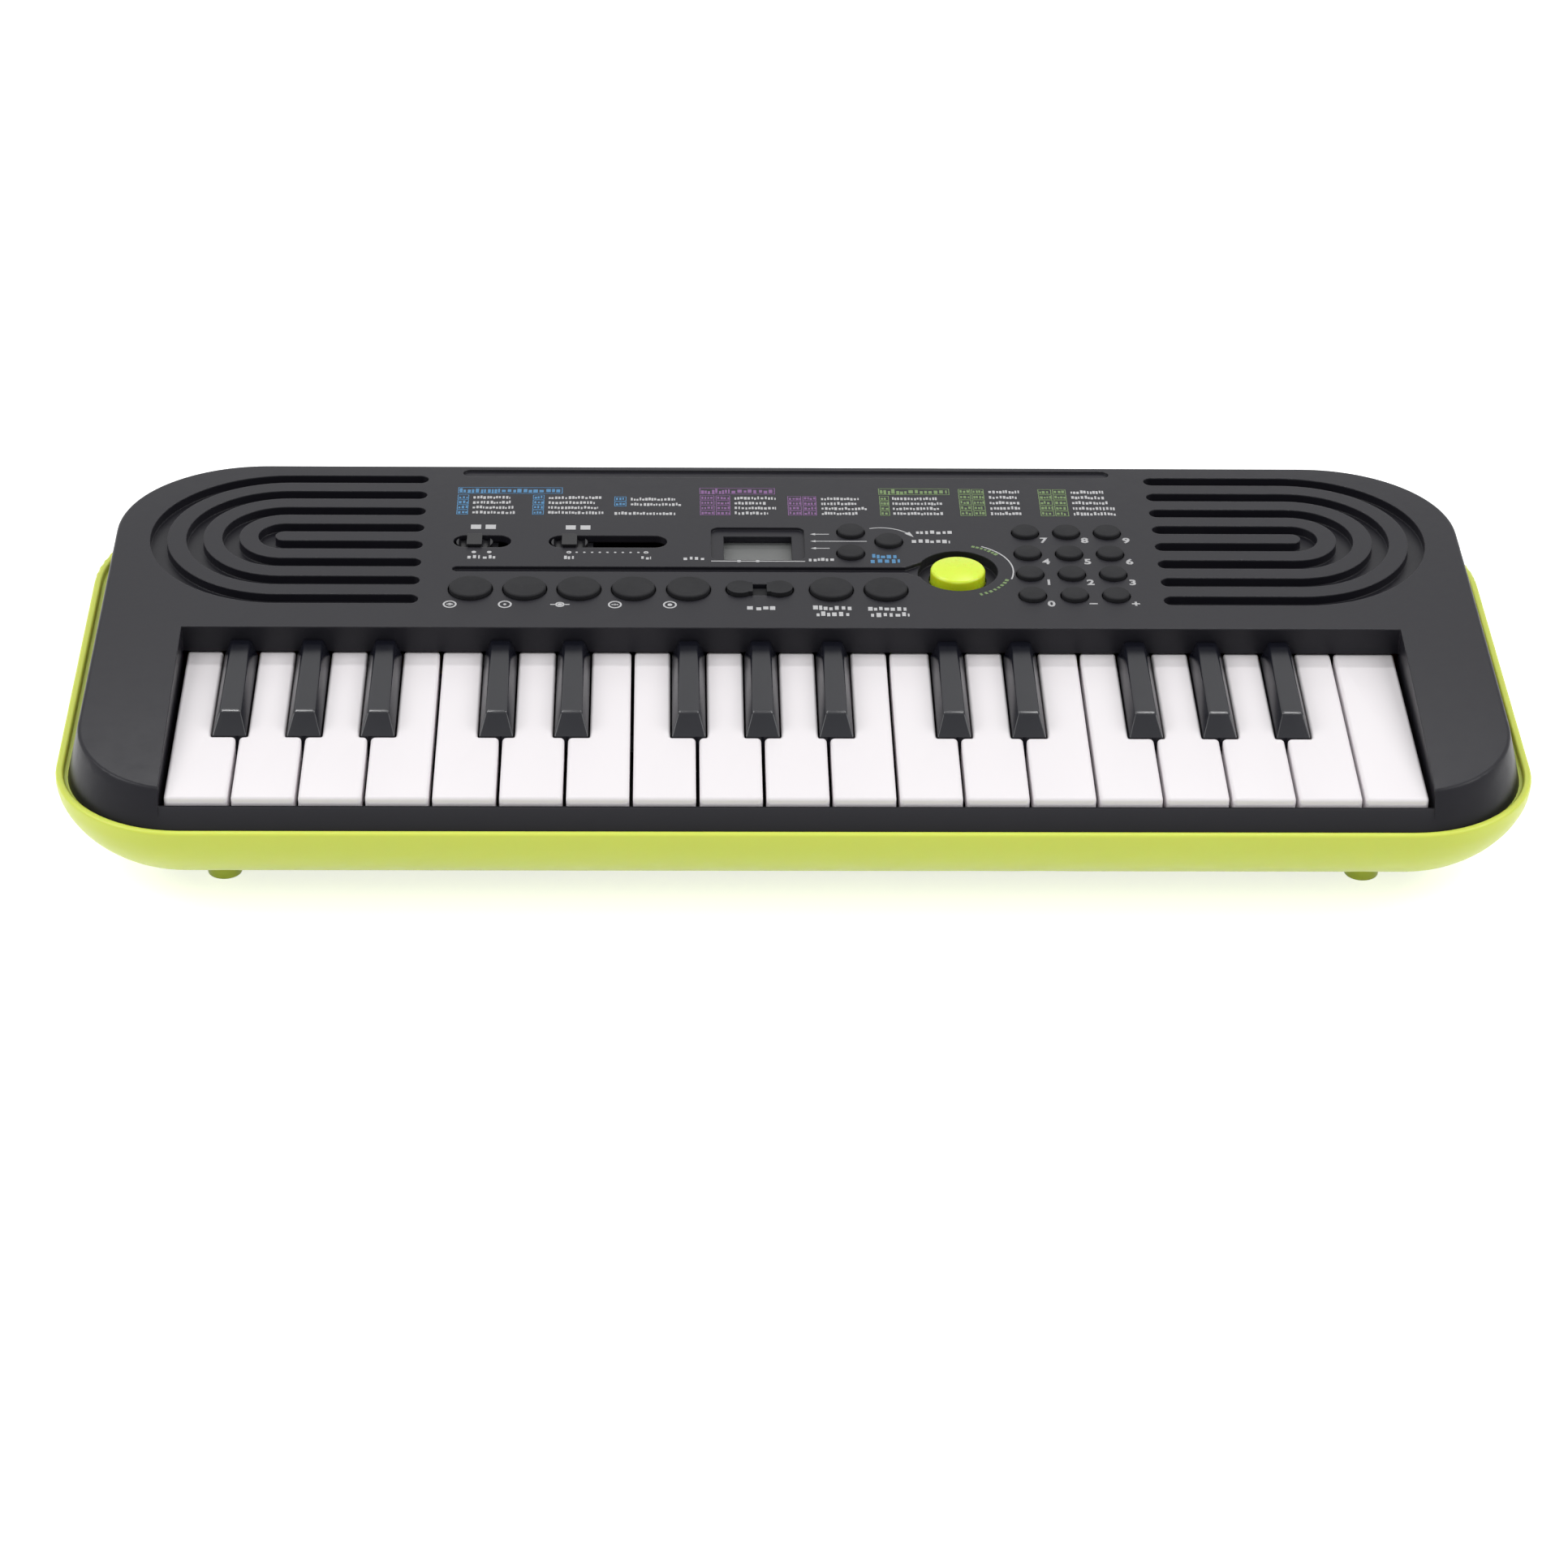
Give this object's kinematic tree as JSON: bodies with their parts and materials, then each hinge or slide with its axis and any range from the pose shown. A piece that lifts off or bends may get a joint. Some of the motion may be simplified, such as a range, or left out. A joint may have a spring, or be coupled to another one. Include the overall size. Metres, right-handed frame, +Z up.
{
  "type": "toy electronic keyboard",
  "caption": "Small battery-powered keyboard with mini keys, a crowned black lid, ribbed speaker grilles, display, sliders and rubber buttons on a lime green tub.",
  "frame": {"origin": "on the ground under the middle of the case, at the bottom of the feet", "axes": "+X to the player's right, +Y away from the player, +Z up"},
  "size_m": [0.446, 0.208, 0.0524],
  "materials": {
    "black_case": "satin",
    "lime_case": "satin",
    "white_key": "gloss",
    "black_key": "satin",
    "button_rubber": "matte",
    "lime_button": "gloss",
    "slide_knob": "satin",
    "frame_plastic": "matte",
    "circuit_board": "satin",
    "contact_rubber": "matte",
    "speaker_metal": "matte",
    "display": "matte",
    "clear_lens": "gloss",
    "jack_plastic": "satin",
    "cell_metal": "satin",
    "contact_metal": "satin",
    "screw_metal": "satin"
  },
  "bodies": {
    "case": {"batteries": "cell_metal", "battery_contacts": "contact_metal", "case_screws": "screw_metal", "contact_rubber": "contact_rubber", "jacks": "jack_plastic", "key_frame": "frame_plastic", "lcd_module": "display", "lcd_window": "clear_lens", "lower_case": "lime_case", "main_board": "circuit_board", "speakers": "speaker_metal", "upper_case": "black_case"},
    "battery_door": {"battery_door": "lime_case"},
    "power_switch": {"power_switch": "slide_knob"},
    "volume_slider": {"volume_slider": "slide_knob"},
    "changeover_button": {"changeover_button": "lime_button"},
    "tempo_rocker": {"tempo_rocker": "button_rubber"},
    "number_buttons": {"number_buttons": "button_rubber"},
    "mode_button_1": {"mode_button_1": "button_rubber"},
    "mode_button_2": {"mode_button_2": "button_rubber"},
    "mode_button_3": {"mode_button_3": "button_rubber"},
    "pad_1": {"pad_1": "button_rubber"},
    "pad_2": {"pad_2": "button_rubber"},
    "pad_3": {"pad_3": "button_rubber"},
    "pad_4": {"pad_4": "button_rubber"},
    "pad_5": {"pad_5": "button_rubber"},
    "start_button": {"start_button": "button_rubber"},
    "melody_button": {"melody_button": "button_rubber"},
    "key_white_01": {"key_white_01": "white_key"},
    "key_black_01": {"key_black_01": "black_key"},
    "key_white_02": {"key_white_02": "white_key"},
    "key_black_02": {"key_black_02": "black_key"},
    "key_white_03": {"key_white_03": "white_key"},
    "key_black_03": {"key_black_03": "black_key"},
    "key_white_04": {"key_white_04": "white_key"},
    "key_white_05": {"key_white_05": "white_key"},
    "key_black_04": {"key_black_04": "black_key"},
    "key_white_06": {"key_white_06": "white_key"},
    "key_black_05": {"key_black_05": "black_key"},
    "key_white_07": {"key_white_07": "white_key"},
    "key_white_08": {"key_white_08": "white_key"},
    "key_black_06": {"key_black_06": "black_key"},
    "key_white_09": {"key_white_09": "white_key"},
    "key_black_07": {"key_black_07": "black_key"},
    "key_white_10": {"key_white_10": "white_key"},
    "key_black_08": {"key_black_08": "black_key"},
    "key_white_11": {"key_white_11": "white_key"},
    "key_white_12": {"key_white_12": "white_key"},
    "key_black_09": {"key_black_09": "black_key"},
    "key_white_13": {"key_white_13": "white_key"},
    "key_black_10": {"key_black_10": "black_key"},
    "key_white_14": {"key_white_14": "white_key"},
    "key_white_15": {"key_white_15": "white_key"},
    "key_black_11": {"key_black_11": "black_key"},
    "key_white_16": {"key_white_16": "white_key"},
    "key_black_12": {"key_black_12": "black_key"},
    "key_white_17": {"key_white_17": "white_key"},
    "key_black_13": {"key_black_13": "black_key"},
    "key_white_18": {"key_white_18": "white_key"},
    "key_white_19": {"key_white_19": "white_key"}
  },
  "joints": [
    {"name": "battery_door_hinge", "type": "hinge", "parent": "case", "child": "battery_door", "pos_m": [0, 0.0655, 0.007], "axis": [1, 0, 0], "range_deg": [0, 75]},
    {"name": "power_switch_slide", "type": "slide", "parent": "case", "child": "power_switch", "axis": [1, 0, 0], "range_m": [0, 0.0049]},
    {"name": "volume_slide", "type": "slide", "parent": "case", "child": "volume_slider", "axis": [1, 0, 0], "range_m": [0, 0.0245]},
    {"name": "changeover_press", "type": "slide", "parent": "case", "child": "changeover_button", "axis": [0, 0, -1], "range_m": [0, 0.0012], "stiffness_N_per_m": 400, "springref_m": -0.001},
    {"name": "tempo_rock", "type": "hinge", "parent": "case", "child": "tempo_rocker", "pos_m": [-0.0099, 0.0147, 0.04644], "axis": [0, 1, 0], "range_deg": [-6, 6], "stiffness_Nm_per_rad": 0.05},
    {"name": "number_press", "type": "slide", "parent": "case", "child": "number_buttons", "axis": [0, 0, -1], "range_m": [0, 0.001], "stiffness_N_per_m": 400, "springref_m": -0.001},
    {"name": "mode_1_press", "type": "slide", "parent": "case", "child": "mode_button_1", "axis": [0, 0, -1], "range_m": [0, 0.0012], "stiffness_N_per_m": 400, "springref_m": -0.001},
    {"name": "mode_2_press", "type": "slide", "parent": "case", "child": "mode_button_2", "axis": [0, 0, -1], "range_m": [0, 0.0012], "stiffness_N_per_m": 400, "springref_m": -0.001},
    {"name": "mode_3_press", "type": "slide", "parent": "case", "child": "mode_button_3", "axis": [0, 0, -1], "range_m": [0, 0.0012], "stiffness_N_per_m": 400, "springref_m": -0.001},
    {"name": "pad_1_press", "type": "slide", "parent": "case", "child": "pad_1", "axis": [0, 0, -1], "range_m": [0, 0.0012], "stiffness_N_per_m": 400, "springref_m": -0.001},
    {"name": "pad_2_press", "type": "slide", "parent": "case", "child": "pad_2", "axis": [0, 0, -1], "range_m": [0, 0.0012], "stiffness_N_per_m": 400, "springref_m": -0.001},
    {"name": "pad_3_press", "type": "slide", "parent": "case", "child": "pad_3", "axis": [0, 0, -1], "range_m": [0, 0.0012], "stiffness_N_per_m": 400, "springref_m": -0.001},
    {"name": "pad_4_press", "type": "slide", "parent": "case", "child": "pad_4", "axis": [0, 0, -1], "range_m": [0, 0.0012], "stiffness_N_per_m": 400, "springref_m": -0.001},
    {"name": "pad_5_press", "type": "slide", "parent": "case", "child": "pad_5", "axis": [0, 0, -1], "range_m": [0, 0.0012], "stiffness_N_per_m": 400, "springref_m": -0.001},
    {"name": "start_press", "type": "slide", "parent": "case", "child": "start_button", "axis": [0, 0, -1], "range_m": [0, 0.0012], "stiffness_N_per_m": 400, "springref_m": -0.001},
    {"name": "melody_press", "type": "slide", "parent": "case", "child": "melody_button", "axis": [0, 0, -1], "range_m": [0, 0.0012], "stiffness_N_per_m": 400, "springref_m": -0.001},
    {"name": "key_white_01_press", "type": "hinge", "parent": "case", "child": "key_white_01", "pos_m": [0, 0.004, 0.036], "axis": [1, 0, 0], "range_deg": [0, 2.6], "stiffness_Nm_per_rad": 0.25, "springref_deg": -5.73},
    {"name": "key_black_01_press", "type": "hinge", "parent": "case", "child": "key_black_01", "pos_m": [0, 0.004, 0.036], "axis": [1, 0, 0], "range_deg": [0, 3], "stiffness_Nm_per_rad": 0.25, "springref_deg": -5.73},
    {"name": "key_white_02_press", "type": "hinge", "parent": "case", "child": "key_white_02", "pos_m": [0, 0.004, 0.036], "axis": [1, 0, 0], "range_deg": [0, 2.6], "stiffness_Nm_per_rad": 0.25, "springref_deg": -5.73},
    {"name": "key_black_02_press", "type": "hinge", "parent": "case", "child": "key_black_02", "pos_m": [0, 0.004, 0.036], "axis": [1, 0, 0], "range_deg": [0, 3], "stiffness_Nm_per_rad": 0.25, "springref_deg": -5.73},
    {"name": "key_white_03_press", "type": "hinge", "parent": "case", "child": "key_white_03", "pos_m": [0, 0.004, 0.036], "axis": [1, 0, 0], "range_deg": [0, 2.6], "stiffness_Nm_per_rad": 0.25, "springref_deg": -5.73},
    {"name": "key_black_03_press", "type": "hinge", "parent": "case", "child": "key_black_03", "pos_m": [0, 0.004, 0.036], "axis": [1, 0, 0], "range_deg": [0, 3], "stiffness_Nm_per_rad": 0.25, "springref_deg": -5.73},
    {"name": "key_white_04_press", "type": "hinge", "parent": "case", "child": "key_white_04", "pos_m": [0, 0.004, 0.036], "axis": [1, 0, 0], "range_deg": [0, 2.6], "stiffness_Nm_per_rad": 0.25, "springref_deg": -5.73},
    {"name": "key_white_05_press", "type": "hinge", "parent": "case", "child": "key_white_05", "pos_m": [0, 0.004, 0.036], "axis": [1, 0, 0], "range_deg": [0, 2.6], "stiffness_Nm_per_rad": 0.25, "springref_deg": -5.73},
    {"name": "key_black_04_press", "type": "hinge", "parent": "case", "child": "key_black_04", "pos_m": [0, 0.004, 0.036], "axis": [1, 0, 0], "range_deg": [0, 3], "stiffness_Nm_per_rad": 0.25, "springref_deg": -5.73},
    {"name": "key_white_06_press", "type": "hinge", "parent": "case", "child": "key_white_06", "pos_m": [0, 0.004, 0.036], "axis": [1, 0, 0], "range_deg": [0, 2.6], "stiffness_Nm_per_rad": 0.25, "springref_deg": -5.73},
    {"name": "key_black_05_press", "type": "hinge", "parent": "case", "child": "key_black_05", "pos_m": [0, 0.004, 0.036], "axis": [1, 0, 0], "range_deg": [0, 3], "stiffness_Nm_per_rad": 0.25, "springref_deg": -5.73},
    {"name": "key_white_07_press", "type": "hinge", "parent": "case", "child": "key_white_07", "pos_m": [0, 0.004, 0.036], "axis": [1, 0, 0], "range_deg": [0, 2.6], "stiffness_Nm_per_rad": 0.25, "springref_deg": -5.73},
    {"name": "key_white_08_press", "type": "hinge", "parent": "case", "child": "key_white_08", "pos_m": [0, 0.004, 0.036], "axis": [1, 0, 0], "range_deg": [0, 2.6], "stiffness_Nm_per_rad": 0.25, "springref_deg": -5.73},
    {"name": "key_black_06_press", "type": "hinge", "parent": "case", "child": "key_black_06", "pos_m": [0, 0.004, 0.036], "axis": [1, 0, 0], "range_deg": [0, 3], "stiffness_Nm_per_rad": 0.25, "springref_deg": -5.73},
    {"name": "key_white_09_press", "type": "hinge", "parent": "case", "child": "key_white_09", "pos_m": [0, 0.004, 0.036], "axis": [1, 0, 0], "range_deg": [0, 2.6], "stiffness_Nm_per_rad": 0.25, "springref_deg": -5.73},
    {"name": "key_black_07_press", "type": "hinge", "parent": "case", "child": "key_black_07", "pos_m": [0, 0.004, 0.036], "axis": [1, 0, 0], "range_deg": [0, 3], "stiffness_Nm_per_rad": 0.25, "springref_deg": -5.73},
    {"name": "key_white_10_press", "type": "hinge", "parent": "case", "child": "key_white_10", "pos_m": [0, 0.004, 0.036], "axis": [1, 0, 0], "range_deg": [0, 2.6], "stiffness_Nm_per_rad": 0.25, "springref_deg": -5.73},
    {"name": "key_black_08_press", "type": "hinge", "parent": "case", "child": "key_black_08", "pos_m": [0, 0.004, 0.036], "axis": [1, 0, 0], "range_deg": [0, 3], "stiffness_Nm_per_rad": 0.25, "springref_deg": -5.73},
    {"name": "key_white_11_press", "type": "hinge", "parent": "case", "child": "key_white_11", "pos_m": [0, 0.004, 0.036], "axis": [1, 0, 0], "range_deg": [0, 2.6], "stiffness_Nm_per_rad": 0.25, "springref_deg": -5.73},
    {"name": "key_white_12_press", "type": "hinge", "parent": "case", "child": "key_white_12", "pos_m": [0, 0.004, 0.036], "axis": [1, 0, 0], "range_deg": [0, 2.6], "stiffness_Nm_per_rad": 0.25, "springref_deg": -5.73},
    {"name": "key_black_09_press", "type": "hinge", "parent": "case", "child": "key_black_09", "pos_m": [0, 0.004, 0.036], "axis": [1, 0, 0], "range_deg": [0, 3], "stiffness_Nm_per_rad": 0.25, "springref_deg": -5.73},
    {"name": "key_white_13_press", "type": "hinge", "parent": "case", "child": "key_white_13", "pos_m": [0, 0.004, 0.036], "axis": [1, 0, 0], "range_deg": [0, 2.6], "stiffness_Nm_per_rad": 0.25, "springref_deg": -5.73},
    {"name": "key_black_10_press", "type": "hinge", "parent": "case", "child": "key_black_10", "pos_m": [0, 0.004, 0.036], "axis": [1, 0, 0], "range_deg": [0, 3], "stiffness_Nm_per_rad": 0.25, "springref_deg": -5.73},
    {"name": "key_white_14_press", "type": "hinge", "parent": "case", "child": "key_white_14", "pos_m": [0, 0.004, 0.036], "axis": [1, 0, 0], "range_deg": [0, 2.6], "stiffness_Nm_per_rad": 0.25, "springref_deg": -5.73},
    {"name": "key_white_15_press", "type": "hinge", "parent": "case", "child": "key_white_15", "pos_m": [0, 0.004, 0.036], "axis": [1, 0, 0], "range_deg": [0, 2.6], "stiffness_Nm_per_rad": 0.25, "springref_deg": -5.73},
    {"name": "key_black_11_press", "type": "hinge", "parent": "case", "child": "key_black_11", "pos_m": [0, 0.004, 0.036], "axis": [1, 0, 0], "range_deg": [0, 3], "stiffness_Nm_per_rad": 0.25, "springref_deg": -5.73},
    {"name": "key_white_16_press", "type": "hinge", "parent": "case", "child": "key_white_16", "pos_m": [0, 0.004, 0.036], "axis": [1, 0, 0], "range_deg": [0, 2.6], "stiffness_Nm_per_rad": 0.25, "springref_deg": -5.73},
    {"name": "key_black_12_press", "type": "hinge", "parent": "case", "child": "key_black_12", "pos_m": [0, 0.004, 0.036], "axis": [1, 0, 0], "range_deg": [0, 3], "stiffness_Nm_per_rad": 0.25, "springref_deg": -5.73},
    {"name": "key_white_17_press", "type": "hinge", "parent": "case", "child": "key_white_17", "pos_m": [0, 0.004, 0.036], "axis": [1, 0, 0], "range_deg": [0, 2.6], "stiffness_Nm_per_rad": 0.25, "springref_deg": -5.73},
    {"name": "key_black_13_press", "type": "hinge", "parent": "case", "child": "key_black_13", "pos_m": [0, 0.004, 0.036], "axis": [1, 0, 0], "range_deg": [0, 3], "stiffness_Nm_per_rad": 0.25, "springref_deg": -5.73},
    {"name": "key_white_18_press", "type": "hinge", "parent": "case", "child": "key_white_18", "pos_m": [0, 0.004, 0.036], "axis": [1, 0, 0], "range_deg": [0, 2.6], "stiffness_Nm_per_rad": 0.25, "springref_deg": -5.73},
    {"name": "key_white_19_press", "type": "hinge", "parent": "case", "child": "key_white_19", "pos_m": [0, 0.004, 0.036], "axis": [1, 0, 0], "range_deg": [0, 2.6], "stiffness_Nm_per_rad": 0.25, "springref_deg": -5.73}
  ]
}
